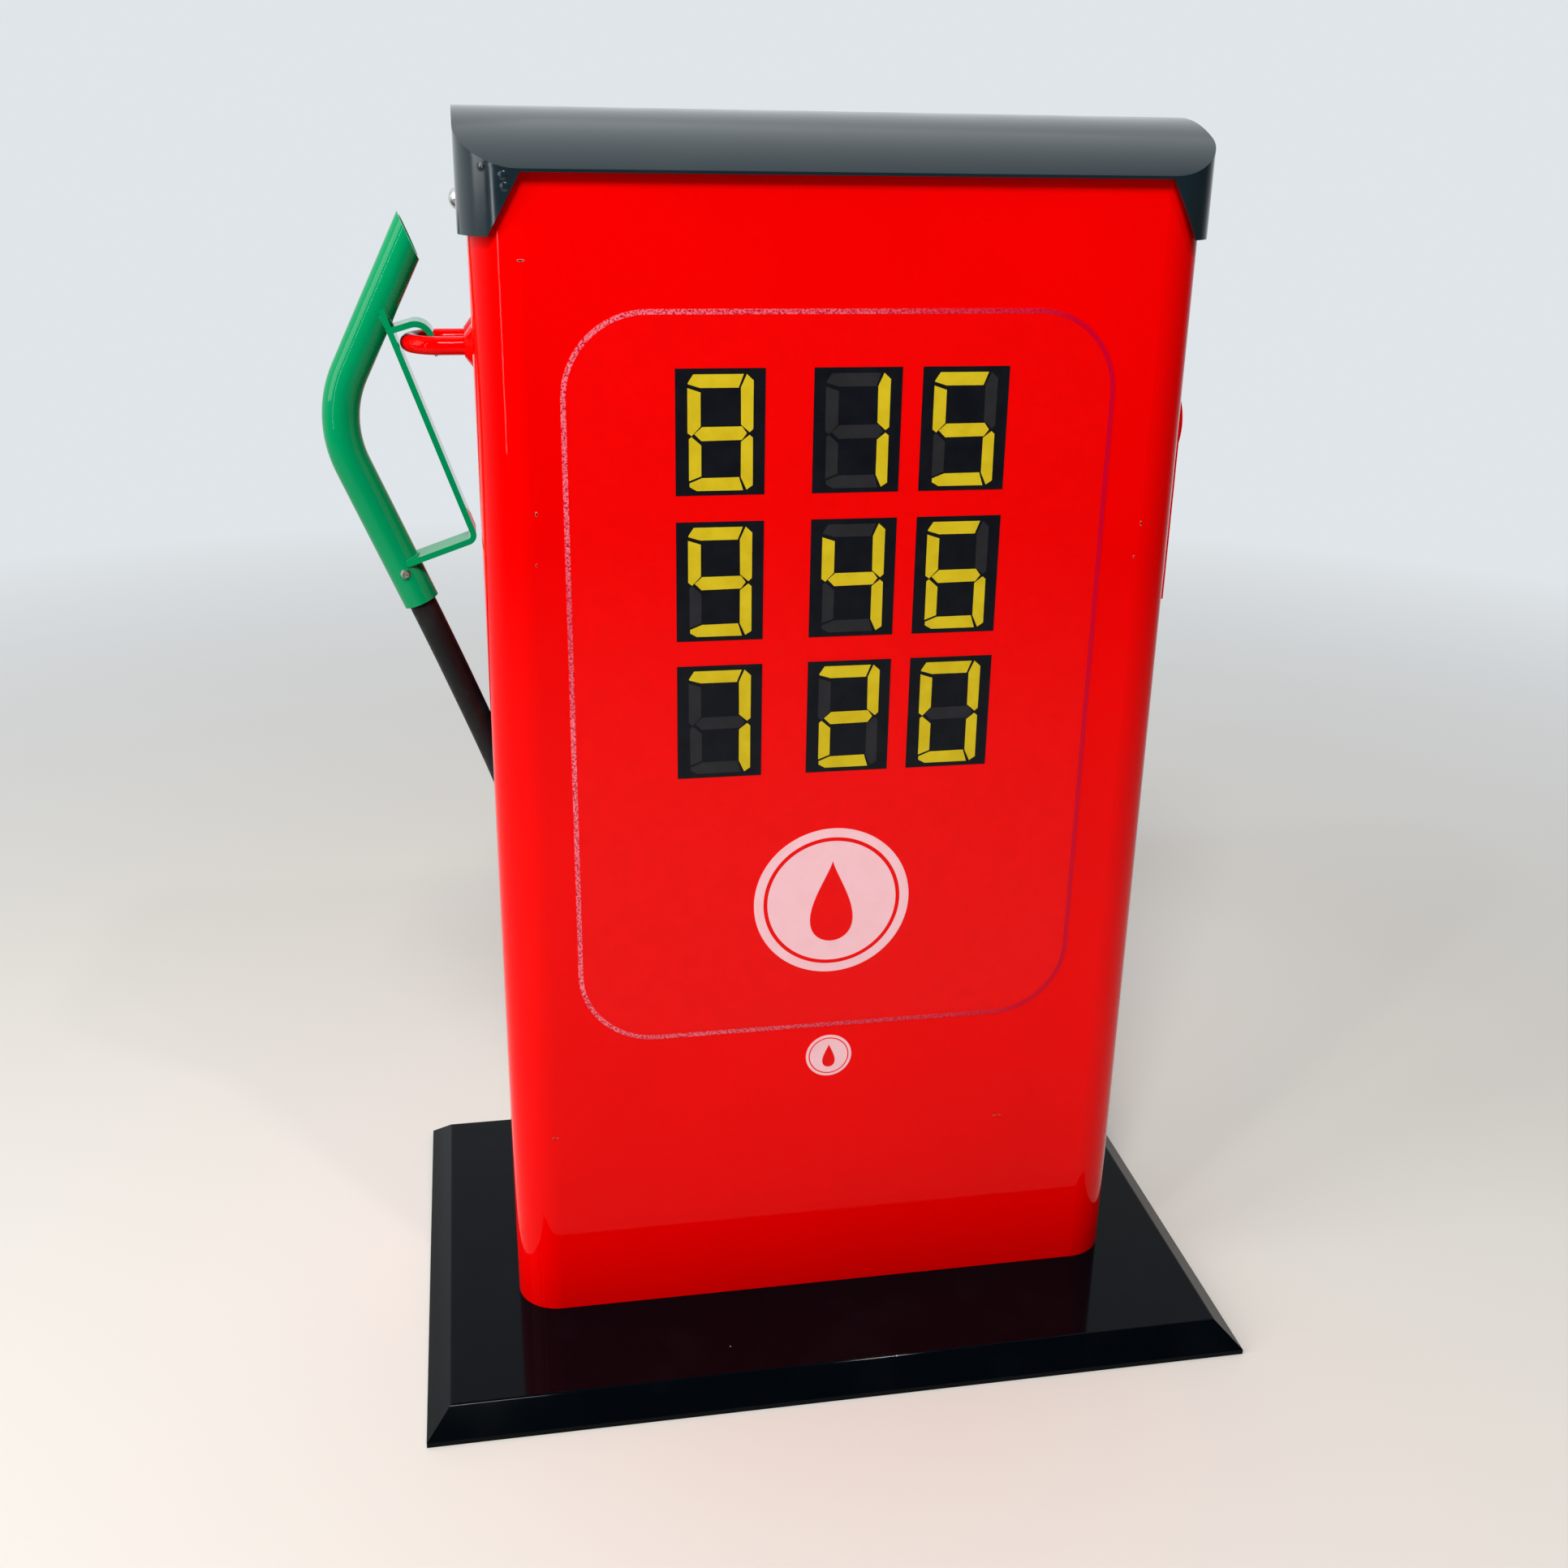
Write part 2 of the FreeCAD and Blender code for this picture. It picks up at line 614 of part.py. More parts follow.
# ---------------------------------------------------------------- nozzle holder
def nozzle_holder():
    """A rod bent to a flat U, with its legs through the left side and nuts behind."""
    wall_x = -size("body_half")
    half, z = size("loop_spacing") / 2, size("loop_z")
    tip_x = wall_x - size("loop_reach")
    bend_x = tip_x + size("rod_size") / 2 + half
    tail_x = wall_x + size("holder_tail")
    front = [Vector(tail_x, -half, z), Vector(bend_x, -half, z)]
    back = [Vector(bend_x, half, z), Vector(tail_x, half, z)]
    middle = Vector(bend_x - half, 0, z)
    spine = Part.Wire(
        [
            Part.LineSegment(*front).toShape(),
            Part.Arc(front[1], middle, back[0]).toShape(),
            Part.LineSegment(*back).toShape(),
        ]
    )
    circle = Part.Circle(front[0], Vector(-1, 0, 0), size("rod_size") / 2)
    loop = spine.makePipeShell([Part.Wire(circle.toShape())], True, False)
    keep(feature("holder_loop", loop), "nozzle_holder")

    collars, nuts = [], []
    bore_size = "Sizes.rod_size + Sizes.thread_clearance"
    for name, y in (("front", "-Sizes.loop_spacing / 2"), ("back", "Sizes.loop_spacing / 2")):
        cone = doc.addObject("Part::Cone", f"collar_cone_{name}")
        cone.Placement.Rotation = Rotation(Vector(0, 0, 1), Vector(-1, 0, 0))
        bind(
            cone,
            x="-Sizes.body_half",
            y=y,
            z="Sizes.loop_z",
            Radius1="Sizes.collar_size / 2",
            Radius2="Sizes.rod_size / 2 + Sizes.collar_rim",
            Height="Sizes.collar_height",
        )
        collar_bore = rod(f"collar_bore_{name}", (-1, 0, 0), "-Sizes.body_half", y, "Sizes.loop_z", bore_size,
                          "Sizes.collar_height")
        collars.append(cut(f"collar_{name}", cone, collar_bore))
        place = ((1, 0, 0), "-Sizes.body_half + Sizes.panel_wall", y, "Sizes.loop_z")
        tall = "Sizes.holder_nut_height"
        blank = hexagon(f"holder_nut_blank_{name}", *place, "Sizes.holder_nut_size", tall)
        nut_bore = rod(f"holder_nut_bore_{name}", *place, bore_size, tall)
        nuts.append(cut(f"holder_nut_{name}", blank, nut_bore))
    keep(group("collar_set", *collars), "holder_collars")
    keep(group("holder_nut_set", *nuts), "holder_nuts")


# ---------------------------------------------------------------- nozzle
def from_tube_end(lean, across, along):
    """A point in the nozzle's plane: along a line that leans by so many degrees, and across it to the right."""
    lean = math.radians(lean)
    end = Vector(size("tube_end_x"), 0, size("tube_end_z"))
    return (
        end
        + Vector(math.cos(lean), 0, math.sin(lean)) * across
        + Vector(-math.sin(lean), 0, math.cos(lean)) * along
    )


def on_nozzle(across, along):
    """A point given along and across the grip's axis."""
    return from_tube_end(size("tube_lean"), across, along)


def on_guard(across, along):
    """A point given along and across the direction of the guard's strap, in which the nozzle lifts off."""
    return from_tube_end(size("guard_lean"), across, along)


def guard_meets_spout(across):
    """How far along the guard's direction its line, so far across, meets the spout's axis."""
    turn = math.radians(size("tube_turn") - size("tube_lean"))
    spout = Vector(math.sin(turn), 0, math.cos(turn))
    to_right, upward = on_guard(1, 0) - on_guard(0, 0), on_guard(0, 1) - on_guard(0, 0)
    corner = on_nozzle(0, size("tube_grip_length")) - on_guard(across, 0)
    reach = -corner.dot(to_right) / spout.dot(to_right)
    return (corner + spout * reach).dot(upward)


def guard_face():
    """How far across the guard's outer face lies: it hangs just clear of the holder's loop."""
    loop_centre = Vector(-size("body_half") - size("loop_reach") + size("rod_size") / 2, 0, size("loop_z"))
    to_right = on_guard(1, 0) - on_guard(0, 0)
    return (loop_centre - on_guard(0, 0)).dot(to_right) - size("rod_size") / 2 - size("guard_gap")


def nozzle():
    """A tube with one bend and a slanting mouth, a strap guard, a hook and a lock screw for the hose."""
    grip, spout, turn = size("tube_grip_length"), size("tube_spout_length"), math.radians(size("tube_turn"))
    overrun = size("tube_size")
    mouth_across = spout * math.sin(turn)
    spout_end = (math.sin(turn) * (spout + overrun), grip + math.cos(turn) * (spout + overrun))
    line = [on_nozzle(0, 0), on_nozzle(0, grip), on_nozzle(*spout_end)]
    bend = [size("tube_bend")]
    solid_tube = feature("tube_solid", swept_rod(line, bend, size("tube_size")))
    bore = feature("tube_bore", swept_rod(line, bend, size("tube_size") - 2 * size("tube_wall")))
    reach = size("tube_size") * 2
    mouth_block = Part.makeBox(reach, reach, grip + spout + overrun, Vector(0, -reach / 2, 0))
    mouth = feature("mouth_cut", mouth_block)
    mouth.Placement = Placement(on_nozzle(mouth_across, 0), Rotation(Vector(0, 1, 0), -size("tube_lean")))
    screw_base = on_nozzle(0, size("lock_screw_height"))
    hole = rod("lock_screw_hole", (0, -1, 0), "0", "0", "0",
               "Sizes.lock_screw_shank + 2 * Sizes.hole_clearance", "Sizes.tube_size")
    place_at(hole, screw_base)
    keep(cut("tube", solid_tube, fuse("tube_hollow", bore, mouth, hole)), "nozzle_tube")

    # Guard: up from the grip beside the holder's loop, and across to the grip's foot
    outer = guard_face()
    half_strap = size("guard_thickness") / 2
    middle_across, middle_along = outer - half_strap, size("guard_foot") + half_strap
    between = turn - math.radians(size("tube_lean") - size("guard_lean"))
    guard_top = guard_meets_spout(middle_across) - half_strap / math.tan(between) - size("weld_overlap")
    strap = swept_strap(
        [
            on_guard(size("weld_overlap"), middle_along),
            on_guard(middle_across, middle_along),
            on_guard(middle_across, guard_top),
        ],
        [size("guard_bend")],
        size("guard_width"),
        size("guard_thickness"),
    )
    guard = keep(cut("guard", feature("guard_strap", strap), solid_tube), "trigger_guard")

    # Hook: out from the guard's top over the holder's loop, and down inside it
    underside = size("loop_z") + size("rod_size") / 2 + size("hook_gap")
    centre_z = underside + half_strap
    loop_inside = -size("body_half") - size("loop_reach") + size("rod_size")
    right_x = loop_inside + size("hook_inset") + half_strap
    strap_foot, strap_direction = on_guard(middle_across, 0), on_guard(0, 1) - on_guard(0, 0)
    in_guard = strap_foot + strap_direction * ((centre_z - strap_foot.z) / strap_direction.z)
    hook_strap = swept_strap(
        [
            in_guard,
            Vector(right_x - size("hook_peak_run"), 0, centre_z + size("hook_rise")),
            Vector(right_x, 0, size("loop_z") - size("hook_drop")),
        ],
        [size("hook_bend")],
        size("guard_width"),
        size("guard_thickness"),
    )
    keep(cut("hook", feature("hook_strap", hook_strap), fuse("hook_trim", solid_tube, guard)), "nozzle_hook")

    # The hose's end is pushed up into the grip, and a cross-recess screw holds it
    insert = rod("hose_end", (0, 0, 1), "0", "0", "0", "Sizes.hose_size", "Sizes.hose_insert")
    insert.Placement.Rotation = Rotation(Vector(0, 1, 0), -size("tube_lean"))
    place_at(insert, on_nozzle(0, 0))
    screw_tap = rod("screw_tap", (0, -1, 0), "0", "0", "0", "Sizes.lock_screw_shank + Sizes.thread_clearance",
                    "Sizes.hose_size")
    place_at(screw_tap, screw_base)
    keep(cut("hose_insert_body", insert, screw_tap), "hose_insert")

    shank = rod("lock_shank", (0, -1, 0), "0", "0", "0", "Sizes.lock_screw_shank", "Sizes.tube_size / 2")
    place_at(shank, screw_base)
    head = doc.addObject("Part::Cone", "lock_head")
    head.Placement.Rotation = Rotation(Vector(0, 0, 1), Vector(0, -1, 0))
    bind(
        head,
        Radius1="Sizes.lock_screw_head / 2",
        Radius2="Sizes.lock_screw_head / 3",
        Height="Sizes.lock_screw_head_height",
    )
    place_at(head, screw_base - Vector(0, size("tube_size") / 2, 0))
    head_front = -size("tube_size") / 2 - size("lock_screw_head_height")
    recess, arm = [], ("recess_length", "recess_width")
    for name, (across, tall) in (("flat", arm), ("upright", arm[::-1])):
        slot = box(f"recess_{name}", "0", "0", "0", f"Sizes.{across}", "Sizes.recess_depth", f"Sizes.{tall}")
        place_at(slot, screw_base + Vector(-size(across) / 2, head_front, -size(tall) / 2))
        recess.append(slot)
    blank = fuse("lock_screw_blank", shank, head)
    keep(cut("lock_screw", blank, fuse("lock_recess", *recess)), "hose_lock_screw")


def place_at(obj, point):
    """Puts obj at a point worked out from the sheet's numbers."""
    for axis in ("x", "y", "z"):
        obj.setExpression(f"Placement.Base.{axis}", None)
    obj.Placement.Base = point


# ---------------------------------------------------------------- hose
def hose_route():
    """Down the nozzle's axis, through the slot, and hanging free inside the cabinet."""
    end = on_nozzle(0, 0)
    return [
        end,
        on_nozzle(0, -45.0),
        end + Vector(64.8, 0, -167.5),
        end + Vector(80.8, 2.0, -258.0),
        end + Vector(83.8, 6.0, -348.0),
        end + Vector(79.8, 8.0, -436.0),
    ]


def hose():
    route = hose_route()
    runs = [(b - a).Length for a, b in zip(route, route[1:])]
    radii = []
    for before, corner, after, first, second in zip(route, route[1:], route[2:], runs, runs[1:]):
        half_turn = (corner - before).getAngle(after - corner) / 2
        radii.append(0.45 * min(first, second) / math.tan(half_turn))
    spine = path_wire(route, radii)
    shape = swept_rod(route, radii, size("hose_size"))
    expected = math.pi * size("hose_size") ** 2 / 4 * spine.Length
    print(f"hose length {spine.Length:.1f}, volume / expected {shape.Volume / expected:.5f}")
    print("hose runs", [round(r) for r in runs], "radii", [round(r) for r in radii])
    keep(feature("hose_tube", shape), "hose")

    # A band clamp on the hanging end stops the hose from being pulled out through the slot
    end, direction = route[-1], (route[-1] - route[-2]).normalize()
    outer = Part.makeCylinder(
        size("hose_size") / 2 + size("stop_thickness"), size("stop_width"), end, direction
    )
    plug = Part.makeCylinder(size("hose_size") / 2, size("stop_thickness"), end, direction)
    flange = Part.makeCylinder(size("stop_flange") / 2, size("stop_thickness"), end, direction)
    keep(feature("hose_stop_cap", outer.fuse(flange).fuse(plug).removeSplitter()), "hose_stop")


# ---------------------------------------------------------------- hood on the right side
def side_hood():
    """A narrow welded sheet hood with a shoulder that curves back to the cabinet, open downwards."""
    wall, wall_x = size("panel_wall"), size("body_half")

    def profile(shrink):
        face_x, crest = wall_x + size("hood_reach") - shrink, size("hood_top") - shrink
        start_x = wall_x - (size("overrun") if shrink else 0)
        low_z = size("hood_bottom") - (size("overrun") if shrink else 0)
        rise = size("hood_shoulder")
        on_curve = Vector(
            start_x + (face_x - start_x) * math.sqrt(0.5), 0, crest - rise + rise * math.sqrt(0.5)
        )
        back, foot = Vector(start_x, 0, low_z), Vector(face_x, 0, low_z)
        shoulder, top = Vector(face_x, 0, crest - rise), Vector(start_x, 0, crest)
        edges = [
            Part.LineSegment(back, foot).toShape(),
            Part.LineSegment(foot, shoulder).toShape(),
            Part.Arc(shoulder, on_curve, top).toShape(),
            Part.LineSegment(top, back).toShape(),
        ]
        return Part.Face(Part.Wire(edges))

    width = size("hood_width")
    outer = profile(0).extrude(Vector(0, width, 0))
    inner = profile(wall).extrude(Vector(0, width - 2 * wall, 0))
    outer.translate(Vector(0, -width / 2, 0))
    inner.translate(Vector(0, -width / 2 + wall, 0))
    keep(feature("hood", outer.cut(inner)), "side_hood")


# ---------------------------------------------------------------- labels
def labels():
    """The printed front panel with nine digit labels and two round labels, each a thin stuck-on sheet."""
    thick = "Sizes.label_thickness"
    panel = rounded_prism(
        "panel_label", "XZ_Plane", "Sizes.panel_label_width", "Sizes.panel_label_height",
        "Sizes.panel_label_corner", thick,
    )
    bind(panel, x="Sizes.panel_label_x", y="Sizes.body_front", z="Sizes.panel_label_z")
    keep(panel, "front_panel_label")
    on_panel = f"Sizes.body_front - 2 * {thick}"
    pitch = "(Sizes.digit_width + Sizes.digit_gap_wide)"
    columns = [
        "Sizes.digit_left_x",
        f"Sizes.digit_left_x + {pitch}",
        f"Sizes.digit_left_x + {pitch} + Sizes.digit_width + Sizes.digit_gap_narrow",
    ]
    for row in (1, 2, 3):
        z = f"Sizes.digit_bottom_z + {3 - row} * Sizes.digit_row_pitch"
        for column, x in enumerate(columns, start=1):
            label = f"digit_label_{row}_{column}"
            plate = box(f"form_{label}", x, on_panel, z, "Sizes.digit_width", thick, "Sizes.digit_height")
            keep(plate, label)
    keep(rod("emblem", (0, -1, 0), "Sizes.emblem_x", f"Sizes.body_front - {thick}", "Sizes.emblem_z",
             "Sizes.emblem_size", thick), "round_emblem")
    keep(rod("maker_label", (0, -1, 0), "Sizes.maker_label_x", "Sizes.body_front", "Sizes.maker_label_z",
             "Sizes.maker_label_size", thick), "small_round_label")


# ---------------------------------------------------------------- build, check and write
base_plate()
base_fasteners()
body_shell()
roof()
roof_fasteners()
nozzle_holder()
nozzle()
hose()
side_hood()
labels()
doc.recompute()

faults = [o.Name for o in doc.Objects if set(o.State) & {"Invalid", "Error"}]
for part in parts:
    if part.Shape.isNull() or not part.Shape.isValid() or not part.Shape.Solids:
        faults.append(part.Label)
if faults:
    raise RuntimeError(f"these objects failed: {faults}")

os.makedirs("parts", exist_ok=True)
for part in parts:
    part.Shape.exportStep(f"parts/{part.Label}.step")
    print(f"{part.Label:22s} solids {len(part.Shape.Solids)} volume {part.Shape.Volume:10.0f}")
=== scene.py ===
"""Looks of the play fuel pump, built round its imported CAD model.

Metres, in the CAD model's frame: +Z up, +X to the right of somebody who faces the digits, -Y towards them.
"""

import json
import math
import random

import bmesh
import bpy
from mathutils import Matrix, Vector


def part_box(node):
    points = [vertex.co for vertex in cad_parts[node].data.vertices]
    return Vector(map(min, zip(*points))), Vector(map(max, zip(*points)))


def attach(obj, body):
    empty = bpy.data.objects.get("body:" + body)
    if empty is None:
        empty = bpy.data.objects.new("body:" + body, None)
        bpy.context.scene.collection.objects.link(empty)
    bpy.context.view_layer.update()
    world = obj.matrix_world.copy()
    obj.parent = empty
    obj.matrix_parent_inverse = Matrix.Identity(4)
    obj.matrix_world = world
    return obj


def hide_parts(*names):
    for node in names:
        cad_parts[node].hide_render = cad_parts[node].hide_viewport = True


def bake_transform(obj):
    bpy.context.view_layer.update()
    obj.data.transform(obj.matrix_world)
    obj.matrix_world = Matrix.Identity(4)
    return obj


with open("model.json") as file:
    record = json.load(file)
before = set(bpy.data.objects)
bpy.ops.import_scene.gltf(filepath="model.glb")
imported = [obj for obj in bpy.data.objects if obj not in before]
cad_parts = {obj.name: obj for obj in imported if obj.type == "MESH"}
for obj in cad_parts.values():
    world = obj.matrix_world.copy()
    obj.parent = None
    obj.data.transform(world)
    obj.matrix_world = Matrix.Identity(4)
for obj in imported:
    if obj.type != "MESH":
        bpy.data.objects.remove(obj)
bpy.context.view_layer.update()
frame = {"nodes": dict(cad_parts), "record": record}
nodes = frame["nodes"]

MM = 0.001
dice = random.Random(5)


# ---------------------------------------------------------------- shader helpers
class Surface:
    """A Principled material whose textures are read from the place on the object, in metres."""

    def __init__(self, name, color, roughness, **constants):
        self.material = bpy.data.materials.new(name)
        self.material.use_nodes = True
        self.tree = self.material.node_tree
        self.shader = self.tree.nodes["Principled BSDF"]
        self.place = self.tree.nodes.new("ShaderNodeTexCoord").outputs["Object"]
        self.set("Base Color", (*color, 1.0))
        self.set("Roughness", roughness)
        for socket, value in constants.items():
            self.set(socket.replace("_", " "), value)

    def set(self, socket, value):
        self.shader.inputs[socket].default_value = value

    def link(self, output, socket):
        self.tree.links.new(output, socket)
        return output

    def noise(self, size, detail=2.0, stretch=None):
        """Noise whose largest blotches are about size metres across."""
        place = self.place
        if stretch:
            mapping = self.tree.nodes.new("ShaderNodeMapping")
            mapping.inputs["Scale"].default_value = stretch
            self.link(place, mapping.inputs["Vector"])
            place = mapping.outputs["Vector"]
        node = self.tree.nodes.new("ShaderNodeTexNoise")
        node.inputs["Scale"].default_value = 1 / size
        node.inputs["Detail"].default_value = detail
        self.link(place, node.inputs["Vector"])
        return node.outputs["Fac"]

    def between(self, value, low, high, start=0.35, end=0.65):
        """A number that goes from low to high as value goes from start to end."""
        node = self.tree.nodes.new("ShaderNodeMapRange")
        for socket, number in (("From Min", start), ("From Max", end), ("To Min", low), ("To Max", high)):
            node.inputs[socket].default_value = number
        self.link(value, node.inputs["Value"])
        return node.outputs["Result"]

    def axis(self, name):
        """One coordinate of the place on the object, in metres."""
        node = self.tree.nodes.new("ShaderNodeSeparateXYZ")
        self.link(self.place, node.inputs["Vector"])
        return node.outputs[name]

    def distance(self):
        """The distance from the object's origin, in metres."""
        node = self.tree.nodes.new("ShaderNodeVectorMath")
        node.operation = "LENGTH"
        self.link(self.place, node.inputs[0])
        return node.outputs["Value"]

    def times(self, *values):
        """The product of several outputs."""
        product = values[0]
        for value in values[1:]:
            node = self.tree.nodes.new("ShaderNodeMath")
            node.operation = "MULTIPLY"
            self.link(product, node.inputs[0])
            self.link(value, node.inputs[1])
            product = node.outputs["Value"]
        return product

    def blend(self, amount, first, second):
        """A colour that goes from first to second, each a colour or an output."""
        node = self.tree.nodes.new("ShaderNodeMix")
        node.data_type = "RGBA"
        self.link(amount, node.inputs["Factor"])
        for socket, color in ((node.inputs[6], first), (node.inputs[7], second)):
            if isinstance(color, tuple):
                socket.default_value = (*color, 1.0)
            else:
                self.link(color, socket)
        return node.outputs[2]

    def color(self, output):
        self.link(output, self.shader.inputs["Base Color"])
        return self

    def roughness(self, output):
        self.link(output, self.shader.inputs["Roughness"])
        return self

    def coat_roughness(self, output):
        self.link(output, self.shader.inputs["Coat Roughness"])
        return self

    def bump(self, *layers):
        """Stacks height maps, each an output and its height in metres."""
        below = None
        for height, distance in layers:
            node = self.tree.nodes.new("ShaderNodeBump")
            node.inputs["Distance"].default_value = distance
            self.link(height, node.inputs["Height"])
            if below:
                self.link(below, node.inputs["Normal"])
            below = node.outputs["Normal"]
        self.link(below, self.shader.inputs["Normal"])
        return self


def enamel(name, color, deep, coat_ior=1.18):
    """Gloss paint on sheet steel: a faint orange peel under a clear coat, and a slightly uneven colour."""
    paint = Surface(name, color, 0.4, Specular_IOR_Level=0.0, Coat_Weight=1.0, Coat_IOR=coat_ior)
    paint.color(paint.blend(paint.between(paint.noise(0.18), 0, 1), color, deep))
    paint.coat_roughness(paint.between(paint.noise(0.03, 4), 0.02, 0.06))
    return paint.bump((paint.noise(14 * MM, 1), 0.03 * MM), (paint.noise(1.6 * MM, 2), 0.003 * MM)).material


def powder_coat(name, color, pale, roughness, peel, coat_ior, coat=1.0):
    """Dark glossy powder coat: a smooth dark film whose skin is slightly wavy, with a little dust."""
    paint = Surface(name, color, 0.5, Specular_IOR_Level=0.0, Coat_Weight=coat, Coat_IOR=coat_ior)
    dust = paint.between(paint.noise(0.05, 6), 0, 1, 0.5, 0.85)
    paint.color(paint.blend(dust, color, pale))
    paint.coat_roughness(paint.between(paint.noise(0.04, 3), roughness, roughness * 1.3))
    return paint.bump((paint.noise(16 * MM, 1), peel), (paint.noise(1.5 * MM, 2), 0.1 * peel)).material


def zinc_plate():
    metal = Surface("zinc_plate", (0.62, 0.61, 0.58), 0.28, Metallic=1.0)
    spangle = metal.between(metal.noise(2 * MM, 3), 0, 1)
    metal.color(metal.blend(spangle, (0.68, 0.67, 0.63), (0.45, 0.45, 0.44)))
    metal.roughness(metal.between(metal.noise(1 * MM, 4), 0.2, 0.42))
    return metal.bump((metal.noise(0.4 * MM, 2), 0.01 * MM)).material


def hose_rubber():
    rubber = Surface("hose_rubber", (0.006, 0.006, 0.007), 0.5, Specular_IOR_Level=0.2)
    dust = rubber.between(rubber.noise(0.02, 6), 0, 1, 0.5, 0.75)
    rubber.color(rubber.blend(dust, (0.005, 0.005, 0.006), (0.014, 0.014, 0.015)))
    rubber.roughness(rubber.between(rubber.noise(6 * MM, 3), 0.42, 0.6))
    grain = rubber.noise(0.8 * MM, 3, stretch=(1, 1, 0.12))
    return rubber.bump((grain, 0.02 * MM)).material


def moulded_plastic():
    plastic = Surface("moulded_plastic", (0.02, 0.02, 0.021), 0.45)
    flow = plastic.between(plastic.noise(0.01), 0, 1)
    plastic.color(plastic.blend(flow, (0.018, 0.018, 0.02), (0.03, 0.03, 0.03)))
    return plastic.bump((plastic.noise(0.5 * MM, 2), 0.03 * MM)).material


def film(name, color, other, roughness=0.08, coat=0.8):
    """Printed self-adhesive film: smooth, with a slight waviness and a little uneven ink."""
    skin = Surface(name, color, 0.4, Specular_IOR_Level=0.05, Coat_Weight=coat, Coat_IOR=1.18)
    skin.color(skin.blend(skin.between(skin.noise(12 * MM, 4), 0, 1), color, other))
    skin.coat_roughness(skin.between(skin.noise(0.02, 3), roughness, roughness + 0.05))
    return skin.bump((skin.noise(0.03, 1), 0.03 * MM)).material


def mottled_edge():
    """The label's clear margin: a broken line of lifted film whose mottle is its own, with painted sheen
    that makes it pale at the top left and dark at the right.
    """
    red, pale = (0.55, 0.0, 0.02), (0.88, 0.20, 0.25)
    coat = dict(Coat_Weight=0.8, Coat_Roughness=0.1, Coat_IOR=1.18)
    skin = Surface("label_margin", red, 0.4, Specular_IOR_Level=0.05, **coat)
    fine = skin.between(skin.noise(1.5 * MM, 6), 0, 1, 0.40, 0.58)
    patches = skin.between(skin.noise(0.12, 2), 0.5, 1)
    # Painted sheen: the margin is paler on the left, where the light falls, and fades to plain red at the
    # right.
    painted_sheen_from_left = skin.between(skin.axis("X"), 1, 0, -0.12, 0.15)
    skin.color(skin.blend(skin.times(fine, patches, painted_sheen_from_left), red, pale))
    return skin.bump((skin.noise(1 * MM, 4), 0.02 * MM)).material


RED = enamel("red_enamel", (0.84, 0.0, 0.0), (0.79, 0.0, 0.0))
GREEN = enamel("green_enamel", (0.0, 0.28, 0.10), (0.0, 0.24, 0.085), 1.25)
ROOF = powder_coat("roof_powder_coat", (0.006, 0.016, 0.022), (0.010, 0.020, 0.026), 0.14, 0.04 * MM, 1.5)
BASE = powder_coat(
    "base_powder_coat", (0.0006, 0.0016, 0.0028), (0.002, 0.003, 0.0045), 0.05, 0.03 * MM, 1.22, coat=0.6
)
ZINC = zinc_plate()
RUBBER = hose_rubber()
PLASTIC = moulded_plastic()
RED_FILM = film("red_film", (0.83, 0.0, 0.0), (0.80, 0.0, 0.0), 0.05, 1.0)
BLACK_FILM = film("black_film", (0.004, 0.005, 0.008), (0.006, 0.007, 0.010))
LIT_INK = film("lit_ink", (0.56, 0.41, 0.010), (0.62, 0.47, 0.014), 0.2)
UNLIT_INK = film("unlit_ink", (0.018, 0.018, 0.021), (0.022, 0.022, 0.025), 0.2)
PALE_INK = film("pale_ink", (0.90, 0.52, 0.57), (0.91, 0.55, 0.60), 0.2)
MARGIN = mottled_edge()
RIM = film("chip_rim", (0.62, 0.10, 0.09), (0.75, 0.20, 0.17), 0.3, 0.2)
BARE = film("bare_primer", (0.030, 0.004, 0.005), (0.06, 0.008, 0.008), 0.5, 0.1)
DUST = film("dust", (0.45, 0.44, 0.42), (0.55, 0.54, 0.52), 0.5, 0.1)

NODE_MATERIALS = {
    "red_paint": RED,
    "roof_paint": ROOF,
    "base_paint": BASE,
    "green_paint": GREEN,
    "zinc_steel": ZINC,
    "hose_rubber": RUBBER,
    "stop_plastic": PLASTIC,
    "red_label": RED_FILM,
    "digit_print": BLACK_FILM,
    "white_label": PALE_INK,
}


def paint_cad_nodes():
    """Gives each CAD node the material of its slot in the record."""
    for part in frame["record"]["subparts"]:
        mesh = nodes[part["node"]].data
        mesh.materials.clear()
        mesh.materials.append(NODE_MATERIALS[part["material_slot"]])


# ---------------------------------------------------------------- mesh helpers
def painted(name, mesh, material):
    """An object from a bmesh, with its material or list of materials."""
    data = bpy.data.meshes.new(name)
    bmesh.ops.recalc_face_normals(mesh, faces=mesh.faces)
    mesh.to_mesh(data)
    mesh.free()
    made = bpy.data.objects.new(name, data)
    bpy.context.scene.collection.objects.link(made)
    for one in material if isinstance(material, list) else [material]:
        data.materials.append(one)
    return made


def piece(name, mesh, material, body="root"):
    """A finished piece from a bmesh, painted and riding on its body."""
    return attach(painted(name, mesh, material), body)


def smooth(obj):
    for face in obj.data.polygons:
        face.use_smooth = True
    return obj


def plate(mesh, outline, y, thick, material_index=0):
    """A thin plate that faces -Y, from an outline of (x, z) points; its back lies at y."""
    front = [mesh.verts.new((x, y - thick, z)) for x, z in outline]
    back = [mesh.verts.new((x, y, z)) for x, z in outline]
    count = len(outline)
    faces = [mesh.faces.new(front)]
    for i in range(count):
        j = (i + 1) % count
        faces.append(mesh.faces.new((front[i], front[j], back[j], back[i])))
    for face in faces:
        face.material_index = material_index


